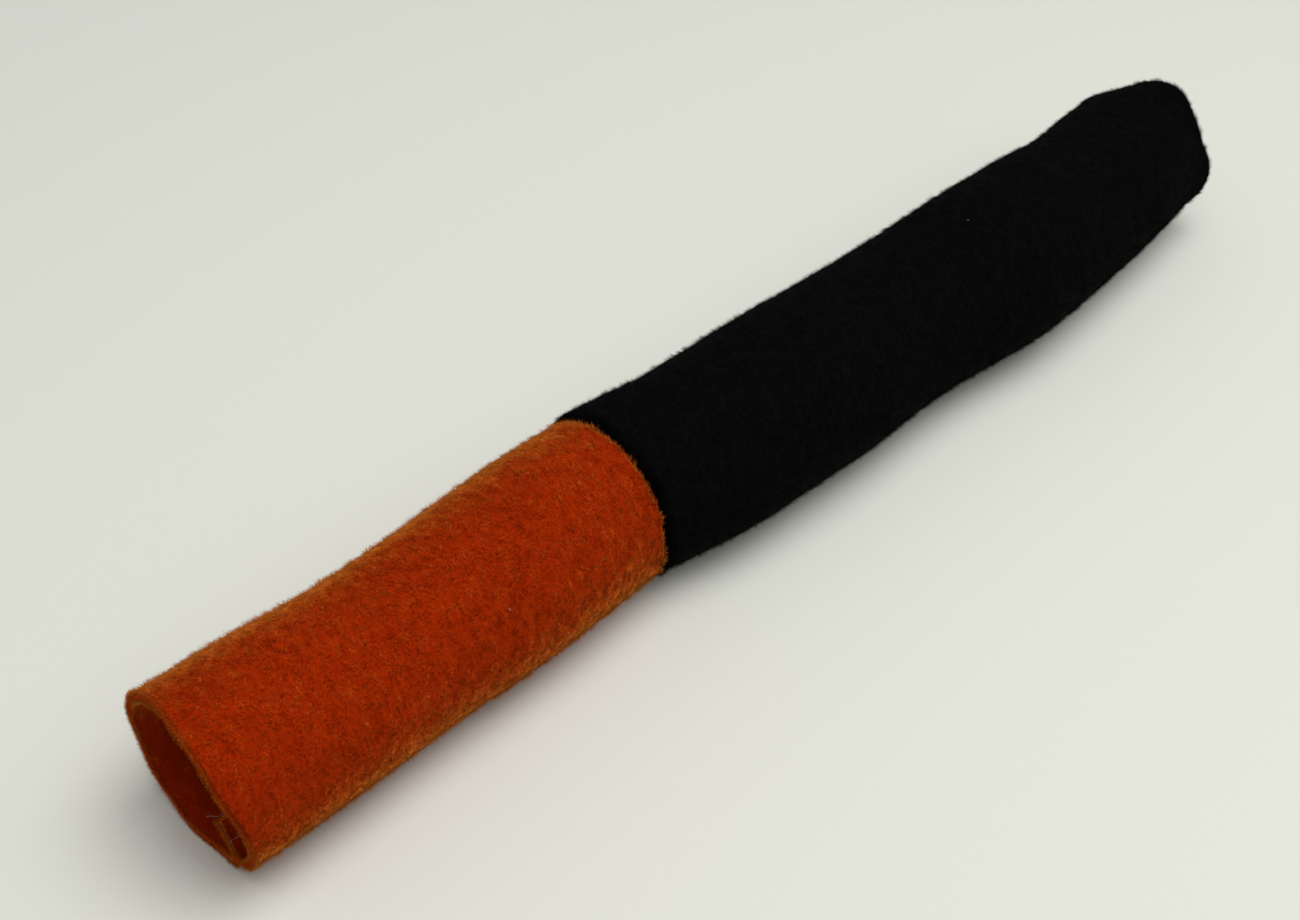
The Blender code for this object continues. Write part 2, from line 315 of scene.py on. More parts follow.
def spikes(name, roots, tips, skin, width, material):
    """Tufts of nap: slim closed spikes from roots to tips, shaded by the skin's normal there."""
    way = tips - roots
    way /= np.linalg.norm(way, axis=1, keepdims=True) + 1e-12
    helper = np.where(np.abs(way[:, :1]) < 0.8, [[1.0, 0, 0]], [[0, 1.0, 0]])
    side = np.cross(way, helper)
    side /= np.linalg.norm(side, axis=1, keepdims=True)
    other = np.cross(way, side)
    corners = [roots + width * (math.cos(a) * side + math.sin(a) * other)
               for a in (0, math.tau / 3, 2 * math.tau / 3)]
    points = np.stack(corners + [tips], 1).reshape(-1, 3)
    base = np.arange(len(roots))[:, None, None] * 4
    faces = base + np.array([[0, 2, 1], [0, 1, 3], [1, 2, 3], [2, 0, 3]])
    obj = mesh_object(name, points, faces.reshape(-1, 3).tolist(), material)
    # The materials read along_tuft to lighten the tufts' tips, a painted sheen.
    along = obj.data.attributes.new("along_tuft", "FLOAT", "POINT")
    along.data.foreach_set("value", np.tile([0.0, 0.0, 0.0, 1.0], len(roots)))
    normal = obj.data.attributes.new("skin_normal", "FLOAT_VECTOR", "POINT")
    normal.data.foreach_set("vector", np.repeat(skin, 4, axis=0).ravel())
    return obj


def strands(name, paths, radius, material, sides=5):
    """Thin round fibres or threads along paths of points, closed at both ends."""
    points, faces = [], []
    for path in paths:
        path = np.asarray(path)
        way = np.gradient(path, axis=0)
        way /= np.linalg.norm(way, axis=1, keepdims=True)
        side = np.cross(way, [0.31, 0.87, 0.38])
        side /= np.linalg.norm(side, axis=1, keepdims=True)
        other = np.cross(way, side)
        start = sum(len(p) for p in points)
        turn = np.arange(sides) * math.tau / sides
        ring = (path[:, None] + radius * (np.cos(turn)[None, :, None] * side[:, None]
                                          + np.sin(turn)[None, :, None] * other[:, None]))
        points.append(ring.reshape(-1, 3))
        last = start + (len(path) - 1) * sides
        for i in range(len(path) - 1):
            for j in range(sides):
                a, b = start + i * sides + j, start + i * sides + (j + 1) % sides
                faces.append((a, a + sides, b + sides, b))
        faces.append(tuple(start + j for j in range(sides)))
        faces.append(tuple(last + j for j in reversed(range(sides))))
    obj = mesh_object(name, np.vstack(points), faces, material)
    turn_normals_outward(obj)
    return obj


# ---------------------------------------------------------------- materials

def add_node(tree, kind, links=(), **settings):
    """Adds a node; links are (input, output socket); other settings are inputs or attributes."""
    node = tree.nodes.new(kind)
    for key, value in settings.items():
        socket = key.replace("_", " ").title()
        if socket in node.inputs and not hasattr(node, key):
            node.inputs[socket].default_value = value
        else:
            setattr(node, key, value)
    for name, output in links:
        tree.links.new(node.inputs[name], output)
    return node


# The tip colour is the colour of the painted sheen on tuft tips and edge-on parts, and it tints the
# shader's sheen.
def napped(name, light, deep, tip, sheen, bump):
    """Brushed polyester fleece: matt, mottled where the nap parts, with painted sheen that lightens the
    tuft tips and the parts seen edge on.
    """
    made = bpy.data.materials.new(name)
    made.use_nodes = True
    tree = made.node_tree
    shader = tree.nodes["Principled BSDF"]
    place = add_node(tree, "ShaderNodeTexCoord").outputs["Object"]
    # Nap lies round the tube, so its flocks are about 1.6 mm along it and 4 mm round it.
    combed = add_node(tree, "ShaderNodeMapping", [("Vector", place)],
                      scale=(1.0, 0.4, 0.4)).outputs["Vector"]
    flocks = add_node(tree, "ShaderNodeTexNoise", [("Vector", combed)], scale=1 / (1.6 * MM),
                      detail=4.0, roughness=0.6)
    tufts = add_node(tree, "ShaderNodeTexNoise", [("Vector", place)], scale=1 / (0.5 * MM),
                     detail=2.0)
    both = add_node(tree, "ShaderNodeMath", [(0, flocks.outputs["Fac"]), (1, tufts.outputs["Fac"])],
                    operation="ADD")
    half = add_node(tree, "ShaderNodeMath", [(0, both.outputs[0])], operation="MULTIPLY")
    half.inputs[1].default_value = 0.5
    skin = add_node(tree, "ShaderNodeAttribute", attribute_name="skin_normal").outputs["Vector"]
    if bump:
        skin = add_node(tree, "ShaderNodeBump", [("Height", half.outputs[0])], strength=bump,
                        distance=0.5 * MM).outputs["Normal"]
    tree.links.new(shader.inputs["Normal"], skin)
    # Painted sheen: along_tuft lightens the tufts towards the tip colour at their tips, and the facing
    # weight lightens the parts seen edge on.
    along = add_node(tree, "ShaderNodeAttribute", attribute_name="along_tuft").outputs["Fac"]
    painted_edge_sheen = add_node(tree, "ShaderNodeLayerWeight", [("Normal", skin)]).outputs["Facing"]
    painted_edge_sheen = add_node(tree, "ShaderNodeMath", [(0, painted_edge_sheen)], operation="POWER")
    painted_edge_sheen.inputs[1].default_value = 3.0
    mottle_and_painted_sheen = half
    # Adds the painted sheen of the tips and of the edge-on parts to the mottling.
    for share, source in ((0.20, along), (0.45, painted_edge_sheen.outputs[0])):
        mottle_and_painted_sheen = add_node(tree, "ShaderNodeMath", [(0, source), (2, mottle_and_painted_sheen.outputs[0])],
                         operation="MULTIPLY_ADD")
        mottle_and_painted_sheen.inputs[1].default_value = share
    ramp = add_node(tree, "ShaderNodeValToRGB", [("Fac", mottle_and_painted_sheen.outputs[0])])
    ramp.color_ramp.elements.new(0.60)
    for element, position, colour in zip(ramp.color_ramp.elements, (0.24, 0.60, 0.95),
                                         (deep, light, tip)):
        element.position, element.color = position, (*colour, 1)
    tree.links.new(shader.inputs["Base Color"], ramp.outputs["Color"])
    shader.inputs["Roughness"].default_value = 0.95
    shader.inputs["Specular IOR Level"].default_value = 0.02
    shader.inputs["Sheen Weight"].default_value = sheen
    shader.inputs["Sheen Roughness"].default_value = 0.4
    shader.inputs["Sheen Tint"].default_value = (*tip, 1)
    return made


def fibrous(name, colour, shade, wavelength, roughness):
    """Spun or loose polyester fibre: a soft gloss, with light and dark along each fibre."""
    made = bpy.data.materials.new(name)
    made.use_nodes = True
    tree = made.node_tree
    shader = tree.nodes["Principled BSDF"]
    place = add_node(tree, "ShaderNodeTexCoord").outputs["Object"]
    grain = add_node(tree, "ShaderNodeTexNoise", [("Vector", place)], scale=1 / wavelength,
                     detail=3.0)
    ramp = add_node(tree, "ShaderNodeValToRGB", [("Fac", grain.outputs["Fac"])])
    for element, position, tone in zip(ramp.color_ramp.elements, (0.35, 0.60), (shade, colour)):
        element.position, element.color = position, (*tone, 1)
    tree.links.new(shader.inputs["Base Color"], ramp.outputs["Color"])
    height = add_node(tree, "ShaderNodeBump", [("Height", grain.outputs["Fac"])], strength=0.4,
                      distance=0.1 * MM)
    tree.links.new(shader.inputs["Normal"], height.outputs["Normal"])
    shader.inputs["Roughness"].default_value = roughness
    shader.inputs["Specular IOR Level"].default_value = 0.05
    return made


def finish(name):
    """The crayon's finishes, each made once."""
    if name in bpy.data.materials:
        return bpy.data.materials[name]
    c = colours()
    shade = {
        "orange fleece": lambda: napped(name, c.orange, c.orange_deep, c.orange_tip_sheen, 1.0, 0.35),
        "orange nap": lambda: napped(name, c.orange, c.orange_deep, c.orange_tip_sheen, 1.0, 0.0),
        # Painted sheen: the fuzz on the mouth's cut edge uses a lighter copy of the orange nap.
        "orange cut edge with painted sheen": lambda: napped(name, srgb("#B84408"), c.orange, c.orange_tip_sheen, 1.0, 0.0),
        "black fleece": lambda: napped(name, c.black, c.black_deep, c.black_tip_sheen, 0.01, 0.35),
        "black nap": lambda: napped(name, c.black, c.black_deep, c.black_tip_sheen, 0.01, 0.0),
        "orange knit": lambda: fibrous(name, c.orange_knit, srgb("#8E2003"), 0.4 * MM, 0.8),
        "orange thread": lambda: fibrous(name, srgb("#B04A14"), srgb("#8A3008"), 0.3 * MM, 0.5),
        "black thread": lambda: fibrous(name, srgb("#1C1C1C"), srgb("#0C0C0C"), 0.3 * MM, 0.5),
        "polyester fibre": lambda: fibrous(name, c.fibre, srgb("#BDBAB2"), 2 * MM, 0.45),
    }
    return shade[name]()


# ---------------------------------------------------------------- sleeves

ROUND_COLUMNS = 96
FINE_LAYERS = ((28 * MM, 0.50 * MM), (9 * MM, 0.22 * MM), (2.2 * MM, 0.16 * MM))
PRESSED_EDGE = 0.35 * MM    # softness of the edge of the pressed underside
FIN_STUB = 0.9 * MM         # what is left of the fin where it is trimmed at an end
TRIM_FROM, TRIM_BY = 16 * MM, 10 * MM
FLAT_FROM, FLAT_BY = 7 * MM, 2 * MM
FLAT_SPARE = 0.2 * MM
FIN_CURL, FIN_WAVE, FIN_WAVELENGTH = 1.1 * MM, 0.8 * MM, 6 * MM
RIM_REACH_AT, RIM_REACH_WIDTH = 0.69, 0.12    # shares of the way round the panel
MOUTH_FADE = 30 * MM        # how far into the sleeve the shape of the cut edge fades out
GRIDS = {}


def draw_out(tube, x, radius, flat, fin):
    """World points of a panel's right side, with the fabric's own unevenness."""
    u, v = outline(radius, fin, flat, ROUND_COLUMNS)
    points = tube.place(x[:, None] + 0 * u, u, v)
    up_fin = np.clip((u[:, FIN_COLUMNS:FIN_COLUMNS + 1] - u) / sizes().fin, 0, 1)
    up_fin = np.where((np.abs(v) < sizes().seam_gap) & (u > 0), up_fin, 0) ** 2
    curl = up_fin * (FIN_CURL + FIN_WAVE * np.sin(x / FIN_WAVELENGTH))[:, None]
    points += curl[..., None] * np.array([0, *tube.v])
    normals = grid_normals(points)
    body = np.clip((np.abs(v) - sizes().seam_gap) / (2 * MM), 0, 1)
    body = np.where(u > 0, body, 1.0)
    points = points + normals * (lumps(points, FINE_LAYERS) * body)[..., None]
    return points


def rest_on_floor(points):
    """Presses the underside flat, with a soft edge to the pressed strip."""
    z = points[..., 2]
    soft = PRESSED_EDGE
    points[..., 2] = np.where(z < 4 * soft, soft * np.log1p(np.exp(np.clip(z / soft, -20, 20))), z)
    return points


def near_an_end(left):
    """How flat the seam is pressed, and how high its fin is, with this much of the tube left."""
    s = sizes()
    flat = np.where(left < s.fold + FLAT_SPARE, 1.0, ease((FLAT_FROM - left) / (FLAT_FROM - FLAT_BY)))
    trimmed = ease((TRIM_FROM - left) / (TRIM_FROM - TRIM_BY))
    return flat, s.fin + (FIN_STUB - s.fin) * trimmed


def fold_rows(x_face, direction, full):
    """(x, radius) rows of an end allowance that folds inward."""
    s = sizes()
    turn = np.linspace(0, math.pi / 2, 9)[1:]
    x = x_face - direction * s.fold * (1 - np.sin(turn))
    radius = full - s.fold * (1 - np.cos(turn))
    inner = np.linspace(radius[-1], radius[-1] - s.allowance, 7)[1:]
    return np.append(x, np.full(6, x_face)), np.append(radius, inner)


class CRAYON_OT_orange_sleeve(bpy.types.Operator):
    """Make the open orange sleeve with its seam fin and raw mouth"""
    bl_idname = "crayon.orange_sleeve"
    bl_label = "Orange sleeve"

    def execute(self, context):
        s = sizes()
        tube = orange_tube()
        x_face = JOIN_X - s.seam_gap / 2
        x = np.linspace(MOUTH_X, x_face - s.fold, 170)
        radius = tube.at(x)[2]
        fold_x, fold_radius = fold_rows(x_face, 1, radius[-1])
        x, radius = np.append(x, fold_x), np.append(radius, fold_radius)
        left = JOIN_X - x
        flat, fin = near_an_end(left)
        points = draw_out(tube, x, radius, flat, fin)
        points = rest_on_floor(points)
        around = np.linspace(0, 1, points.shape[1])
        seam_side = (1 + np.cos(math.tau * around)) / 2
        fade = np.clip(1 - (x - MOUTH_X) / MOUTH_FADE, 0, 1)
        near_edge = -s.rim_reach * np.exp(-((around - RIM_REACH_AT) / RIM_REACH_WIDTH) ** 2)
        wave = 0.15 * MM * np.sin(around * 23) + 0.12 * MM * np.sin(around * 57 + 1)
        points[..., 0] += fade[:, None] * (s.mouth_slant * seam_side + near_edge + wave)
        GRIDS["orange"] = points
        obj = panel_object("orange_fleece_sleeve", points, finish("orange fleece"))
        finish_piece(obj, "orange_fleece", "orange_sleeve")
        return {"FINISHED"}


class CRAYON_OT_black_sleeve(bpy.types.Operator):
    """Make the stuffed black sleeve with its gathered tip"""
    bl_idname = "crayon.black_sleeve"
    bl_label = "Black sleeve"

    tip_power: FloatProperty(name="Tip power", default=2.4, description="Squareness of the tip")
    lobes: IntProperty(name="Lobes", default=4, description="Large folds round the tip")
    pleats: IntProperty(name="Pleats", default=11, description="Small pleats at the neck")

    def execute(self, context):
        s = sizes()
        tube = black_tube()
        x_face = JOIN_X + s.seam_gap / 2
        tip_start = END_X - s.tip_depth
        x = np.linspace(x_face + s.fold, tip_start, 160)
        radius = tube.at(x)[2]
        fold_x, fold_radius = fold_rows(x_face, -1, radius[0])
        x, radius = np.append(fold_x[::-1], x), np.append(fold_radius[::-1], radius)
        tip_x, tip_radius = self.tip(radius[-1], tip_start)
        x, radius = np.append(x, tip_x), np.append(radius, tip_radius)
        left = np.minimum(x - JOIN_X, tip_start + 2 * MM - x)
        flat, fin = near_an_end(left)
        points = draw_out(tube, x, radius, flat, fin)
        points = self.gather(points, x, radius, tip_start)
        points = rest_on_floor(points)
        GRIDS["black"] = points
        obj = panel_object("black_fleece_sleeve", points, finish("black fleece"))
        finish_piece(obj, "black_fleece", "black_sleeve")
        return {"FINISHED"}

    def tip(self, full, tip_start):
        """(x, radius) rows from the straight tube over the tip and into the neck."""
        hole, turn_outer = 0.9 * MM, 2.0 * MM
        last = math.acos(((hole + turn_outer) / full) ** (self.tip_power / 2))
        angle = np.linspace(0, last, 27)[1:]
        x = tip_start + sizes().tip_depth * np.sin(angle) ** (2 / self.tip_power)
        radius = full * np.cos(angle) ** (2 / self.tip_power)
        turn = np.linspace(0, math.pi / 2, 7)[1:]
        x_turn = x[-1] - turn_outer
        x = np.concatenate([x, x_turn + turn_outer * np.cos(turn), [x_turn - 2 * MM, x_turn - 4 * MM]])
        radius = np.concatenate([radius, hole + turn_outer * (1 - np.sin(turn)), [hole, hole]])
        return x, radius

    def gather(self, points, x, radius, tip_start):
        """Large lobes round the shoulder of the tip and small pleats towards its neck."""
        y, z, full = black_tube().at(np.full(len(x), tip_start))
        angle = np.arctan2(points[..., 2] - z[:, None], points[..., 1] - y[:, None])
        onto = ease((x - tip_start + 10 * MM) / (16 * MM))[:, None]
        inward = np.clip(1 - radius / full, 0, 1)[:, None] * (x > tip_start)[:, None]
        lobe = -np.cos(self.lobes * (angle - math.radians(54)))
        lobe = np.sign(lobe) * np.abs(lobe) ** 0.8
        uneven = 0.4 * np.cos(2 * angle + 1.1) + 0.3 * np.cos(3 * angle - 0.6)
        small = -np.abs(np.cos(self.pleats * angle / 2 + 0.4))
        swell = 1.8 * MM * onto * (1 - 0.5 * inward) * (lobe + uneven) / np.maximum(
            radius, 4 * MM)[:, None]
        points[..., 1] += (points[..., 1] - y[:, None]) * swell
        points[..., 2] += (points[..., 2] - z[:, None]) * swell
        depth = np.sin(math.pi * np.clip(inward, 0, 1))
        points[..., 0] += depth * MM * (1.5 * lobe + 1.1 * (small + 0.6)) * (radius > 3 * MM)[:, None]
        return points


# ---------------------------------------------------------------- nap

MOST_TUFTS = {"orange": 42000, "black": 46000}    # in one piece
INNER_TUFTS = 9000
EDGE_TUFTS = 18000
HIDDEN_ROWS = 9             # rows of a folded end that lie in the join
TIP_ROWS = 10               # rows of the neck that lie inside the tip
SWIRL, FLOCK = 14 * MM, 2.2 * MM    # wavelengths of the nap's lie
FLOCK_SHIFTS = Vector((0, 0, 0)), Vector((31.4, 7.7, -12.9)), Vector((-18.3, 40.1, 5.6))


def surface_sample(points, count, generator, rows, columns):
    """Random places on a grid between given rows and columns: points, normals and both tangents."""
    normals = grid_normals(points)
    i = generator.uniform(rows[0], rows[1] - 1.001, count)
    j = generator.uniform(columns[0], columns[1] - 1.001, count)
    low_i, low_j = i.astype(int), j.astype(int)
    share_i, share_j = (i - low_i)[:, None], (j - low_j)[:, None]

    def blend(grid):
        near = grid[low_i, low_j] * (1 - share_j) + grid[low_i, low_j + 1] * share_j
        far = grid[low_i + 1, low_j] * (1 - share_j) + grid[low_i + 1, low_j + 1] * share_j
        return near * (1 - share_i) + far * share_i

    normal = blend(normals)
    normal /= np.linalg.norm(normal, axis=1, keepdims=True)
    across = np.cross(normal, [1.0, 0, 0])
    across /= np.linalg.norm(across, axis=1, keepdims=True) + 1e-9
    along = np.cross(across, normal)
    return blend(points), normal, across, along


def comb(roots, normal, across, along, generator, lean):
    """Directions of the tufts: mostly combed round the tube, in swirls, with some astray."""
    swirl = np.array([noise.noise(Vector(p) / SWIRL) for p in roots]) * 1.6
    swirl += generator.normal(0, 0.55, len(roots))
    flat_way = across * np.cos(swirl)[:, None] + along * np.sin(swirl)[:, None]
    rise = (1 - lean) + np.abs(generator.normal(0, 0.22, len(roots)))
    flock = np.array([[noise.noise(Vector(p) / FLOCK + shift) for shift in FLOCK_SHIFTS] for p in roots])
    way = flat_way * lean + normal * rise[:, None] + flock * 0.7
    way += normal * np.maximum(0.15 - (way * normal).sum(axis=1), 0)[:, None]
    return way / np.linalg.norm(way, axis=1, keepdims=True)


def nap_piece(name, points, count, rows, columns, material, slot, seed, inward=0.0, trim=1.0,
              within=(-math.inf, math.inf)):
    generator = np.random.default_rng(seed)
    base, normal, across, along = surface_sample(points, count, generator, rows, columns)
    if inward:
        base, normal = base - normal * inward, -normal
    way = comb(base, normal, across, along, generator, nap().lean)
    reach = nap().length * trim * generator.uniform(0.55, 1.25, count)
    roots = base - normal * 0.12 * MM
    tips = base + way * reach[:, None]
    tips[:, 0] = np.clip(tips[:, 0], *within)
    tips[:, 2] = np.maximum(tips[:, 2], 0.05 * MM)
    keep = base[:, 2] > 0.25 * MM
    obj = spikes(name, roots[keep], tips[keep], normal[keep], nap().width / 2, material)
    return finish_piece(obj, slot)


class CRAYON_OT_nap(bpy.types.Operator):
    """Cover both sleeves with short combed tufts"""
    bl_idname = "crayon.nap"
    bl_label = "Nap"

    def execute(self, context):
        share = 1.0
        skip = FIN_COLUMNS
        orange, black = GRIDS["orange"], GRIDS["black"]
        columns = (skip, orange.shape[1] - skip)
        area = math.tau * 19 * (JOIN_X - MOUTH_X) / MM
        count = int(min(area * nap().per_mm2, MOST_TUFTS["orange"]) * share)
        outer = (0, orange.shape[0] - HIDDEN_ROWS)
        for i in range(2):
            nap_piece(f"orange_nap_{i + 1}", orange, count, outer, columns, finish("orange nap"),
                      "orange_fleece", SEED + 50 * i, within=(-math.inf, JOIN_X + 0.3 * MM))
        nap_piece("orange_inner_nap", orange, int(INNER_TUFTS * share), (0, 75),
                  (0, orange.shape[1]), finish("orange nap"), "orange_fleece", SEED + 1,
                  inward=sizes().fleece, trim=0.8)
        first, last = HIDDEN_ROWS - 1, black.shape[0] - TIP_ROWS
        area = math.tau * 20.5 * (END_X - JOIN_X) / MM
        count = int(min(area * nap().per_mm2 / 3, MOST_TUFTS["black"]) * share)
        for i in range(3):
            start = first + (last - first) * i // 3
            end = first + 1 + (last - first) * (i + 1) // 3
            nap_piece(f"black_nap_{i + 1}", black, count, (start, end), columns,
                      finish("black nap"), "black_fleece", SEED + 2 + i,
                      within=(JOIN_X - 0.1 * MM, math.inf))
        return {"FINISHED"}


# ---------------------------------------------------------------- cut edge

class CRAYON_OT_cut_edge(bpy.types.Operator):
    """Show the knit loops and loose nap along the raw edge of the mouth"""
    bl_idname = "crayon.cut_edge"
    bl_label = "Cut edge"

    def execute(self, context):
        s = sizes()
        grid = GRIDS["orange"]
        edge = grid[0]
        normal = grid_normals(grid)[0]
        wall = slice(FIN_COLUMNS, -FIN_COLUMNS)
        middle = (edge - normal * s.fleece / 2)[wall]
        step = np.linalg.norm(np.diff(middle, axis=0), axis=1)
        run = np.append(0, np.cumsum(step))
        places = np.arange(0.4 * MM, run[-1], s.knit_pitch / 2)
        generator = np.random.default_rng(SEED + 10)
        paths = []
        for n, at in enumerate(places):
            here = np.array([np.interp(at, run, middle[:, k]) for k in range(3)])
            out = np.array([np.interp(at, run, normal[wall, k]) for k in range(3)])
            side = 0.16 * MM if n % 2 else -0.16 * MM
            start = here + out * side
            bulge = np.array([-0.45 * MM, 0, 0]) + out * generator.normal(0, 0.05 * MM)
            paths.append([start + [0.3 * MM, 0, 0], start + bulge * 0.7,
                          here - out * side * 0.4 + bulge, here - out * side + [0.3 * MM, 0, 0]])
        loops = strands("mouth_knit_loops", paths, 0.15 * MM, finish("orange knit"), sides=6)
        finish_piece(loops, "orange_fleece")
        self.loose_nap(edge, normal, generator)
        return {"FINISHED"}

    def loose_nap(self, edge, normal, generator):
        count = EDGE_TUFTS
        j = generator.uniform(0, len(edge) - 1.001, count)
        low = j.astype(int)
        share = (j - low)[:, None]
        base = edge[low] * (1 - share) + edge[low + 1] * share
        out = normal[low]
        side = np.where(generator.random(count) < 0.5, 0.0, 1.0)
        depth = np.abs(side - np.abs(generator.normal(0, 0.11, count)))
        root = base - out * (depth * sizes().fleece)[:, None]
        lean = out * (1 - 2 * depth)[:, None] * 0.7
        way = lean + np.array([-0.55, 0, 0]) + generator.normal(0, 0.45, (count, 3))
        way /= np.linalg.norm(way, axis=1, keepdims=True)
        tips = root + way * generator.uniform(0.3 * MM, 1.1 * MM, count)[:, None]
        tips[:, 2] = np.maximum(tips[:, 2], 0.05 * MM)
        skin = lean + [-0.55, 0, 0]
        # The cut edge's fuzz takes the lighter finish, a painted sheen.
        obj = spikes("mouth_edge_nap", root + [0.1 * MM, 0, 0], tips,
                     skin / np.linalg.norm(skin, axis=1, keepdims=True), 0.06 * MM,
                     finish("orange cut edge with painted sheen"))
        finish_piece(obj, "orange_fleece")


# ---------------------------------------------------------------- threads and filling

STITCH_DIP = 0.35 * MM       # how deep a stitch dips into the fabric at its ends
FRONT_ROUNDING = 5 * MM
TIP_ROUNDING = 7 * MM


def stitched(name, path, inward, node, slot, material):
    """A row of stitches along a path: each rises from the fabric and dips inward into it."""
    s = sizes()
    step = np.linalg.norm(np.diff(path, axis=0), axis=1)
    run = np.append(0, np.cumsum(step))
    places = np.arange(0, run[-1], s.stitch / 8)
    line = np.stack([np.interp(places, run, path[:, k]) for k in range(3)], -1)
    dip = np.abs(np.sin(places / s.stitch * math.pi))[:, None]
    line = line + inward * (1 - dip ** 0.5) * STITCH_DIP
    obj = strands(name, [line], s.thread / 2, material, sides=8)
    return finish_piece(obj, slot, node)


class CRAYON_OT_threads(bpy.types.Operator):
    """Sew the seams: stitches where they can be seen, and thread on the hidden ones"""
    bl_idname = "crayon.threads"
    bl_label = "Threads"

    def execute(self, context):
        s = sizes()
        for colour, tube in (("orange", orange_tube()), ("black", black_tube())):
            for kind, side in (("needle", 1), ("bobbin", -1)):
                node = f"{colour}_seam_{kind}_thread"
                low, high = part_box(node)
                x = np.linspace(low[0], high[0], 120)
                roll = s.seam_roll + s.fleece / 2
                root = np.sqrt((tube.at(x)[2] - roll) ** 2 - (s.seam_gap / 2 + roll) ** 2)
                off = s.seam_gap / 2 + s.fleece + 0.3 * MM
                path = tube.place(x, root - 1.2 * MM, np.full(len(x), side * off))
                inward = np.array([0, *(tube.v * -side)])
                stitched(f"{colour}_{kind}_stitches", path, inward, node, f"{colour}_thread",
                         finish(f"{colour} thread"))
        for node in ("join_seam_needle_thread", "join_seam_bobbin_thread", "gathering_thread"):
            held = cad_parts[node]
            held.data.materials.clear()
            held.data.materials.append(finish("black thread"))
        return {"FINISHED"}


class CRAYON_OT_filling(bpy.types.Operator):
    """Fill the black sleeve with loose fibre that shows at the bottom of the mouth"""
    bl_idname = "crayon.filling"
    bl_label = "Filling"

    def execute(self, context):
        low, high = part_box("fibre_filling")
        tube = black_tube()
        x = np.linspace(low[0], high[0] - 3 * MM, 90)
        wall = sizes().fleece + 0.9 * MM
        radius = tube.at(x)[2]
        from_end = np.minimum((x - low[0]) / FRONT_ROUNDING, (x[-1] - x) / TIP_ROUNDING)
        from_end = np.clip(from_end, 0.0004, 1)
        radius = (radius - wall) * np.sqrt(from_end * (2 - from_end))
        angle = np.linspace(0, math.tau, 97)[:-1]
        v = radius[:, None] * np.sin(angle)
        u = radius[:, None] * np.cos(angle)
        slot = np.exp(-((angle + math.pi) % math.tau - math.pi) ** 2 / 0.09)
        u = u - slot * np.minimum(radius[:, None] * 0.55, 9 * MM)
        points = tube.place(x[:, None] + 0 * u, u, v)
        points[..., 0] += lumps(points, ((6 * MM, 1.6 * MM),)) * (x < low[0] + 4 * MM)[:, None]
        rows, columns = points.shape[:2]
        index = np.arange(rows * columns).reshape(rows, columns)
        wrap = np.roll(index, -1, axis=1)
        quads = np.stack([index[:-1], index[1:], wrap[1:], wrap[:-1]], -1).reshape(-1, 4).tolist()
        ends = [index[0].tolist(), index[-1][::-1].tolist()]
        obj = mesh_object("fibre_filling_core", points.reshape(-1, 3), quads + ends,
                          finish("polyester fibre"))
        turn_normals_outward(obj)
        finish_piece(obj, "fibre", "fibre_filling")
        self.front_fibres(low[0], tube)
        self.wisps()
        return {"FINISHED"}

    def crimped(self, start, way, length, generator):
        """One crimped fibre: a drifting line with a small zigzag wave."""
        count = 26
        t = np.linspace(0, 1, count)[:, None]
        side = np.cross(way, generator.normal(0, 1, 3))
        side /= np.linalg.norm(side)
        other = np.cross(way, side)
        bend = generator.uniform(-0.6, 0.6) * length
        crimp = 0.16 * MM
        waves = length / (2.4 * MM) * math.tau
        return (start + way * length * t + side * bend * t ** 2
                + side * crimp * np.sin(t * waves) + other * crimp * np.cos(t * waves * 0.7))

    def front_fibres(self, x, tube):
        generator = np.random.default_rng(SEED + 20)
        y, z, radius = (float(a) for a in tube.at(np.array(x + 1 * MM)))
        paths = []
        for _ in range(260):
            angle, reach = generator.uniform(0, math.tau), generator.uniform(0, 0.6) * radius
            start = np.array([x + generator.uniform(-2.5, 1.5) * MM, y + reach * math.cos(angle),
                              z + reach * math.sin(angle)])
            way = generator.normal(0, 1, 3) * [0.35, 1, 1]
            way /= np.linalg.norm(way)
            paths.append(self.crimped(start, way, generator.uniform(3, 7) * MM, generator))
        obj = strands("filling_front_fibres", paths, 0.05 * MM, finish("polyester fibre"), sides=4)
        finish_piece(obj, "fibre")

    def wisps(self):
        """A few fibres caught by the nap beside the seam fin, just inside the mouth."""
        generator = np.random.default_rng(SEED + 30)
        tube = orange_tube()
        paths = []
        for _ in range(nap().wisps):
            x = MOUTH_X + generator.uniform(0.5, 9) * MM
            radius = float(tube.at(np.array(x))[2]) - sizes().fleece
            angle = generator.uniform(-2.0, -0.2)
            deep = generator.uniform(0.5, 6.0) * MM
            u, v = (radius - deep) * math.cos(angle), (radius - deep) * math.sin(angle)
            start = tube.place(np.array([x]), np.array([u]), np.array([v]))[0]
            way = generator.normal(0, 1, 3) * [1.0, 0.8, 0.8]
            way /= np.linalg.norm(way)
            centre = tube.place(np.array([x]), np.array([0.0]), np.array([0.0]))[0]
            way += (centre - start) / radius * 0.35
            way /= np.linalg.norm(way)
            paths.append(self.crimped(start, way, generator.uniform(2, 4.5) * MM, generator))
        obj = strands("mouth_wisps", paths, 0.012 * MM, finish("polyester fibre"), sides=4)
        finish_piece(obj, "fibre")


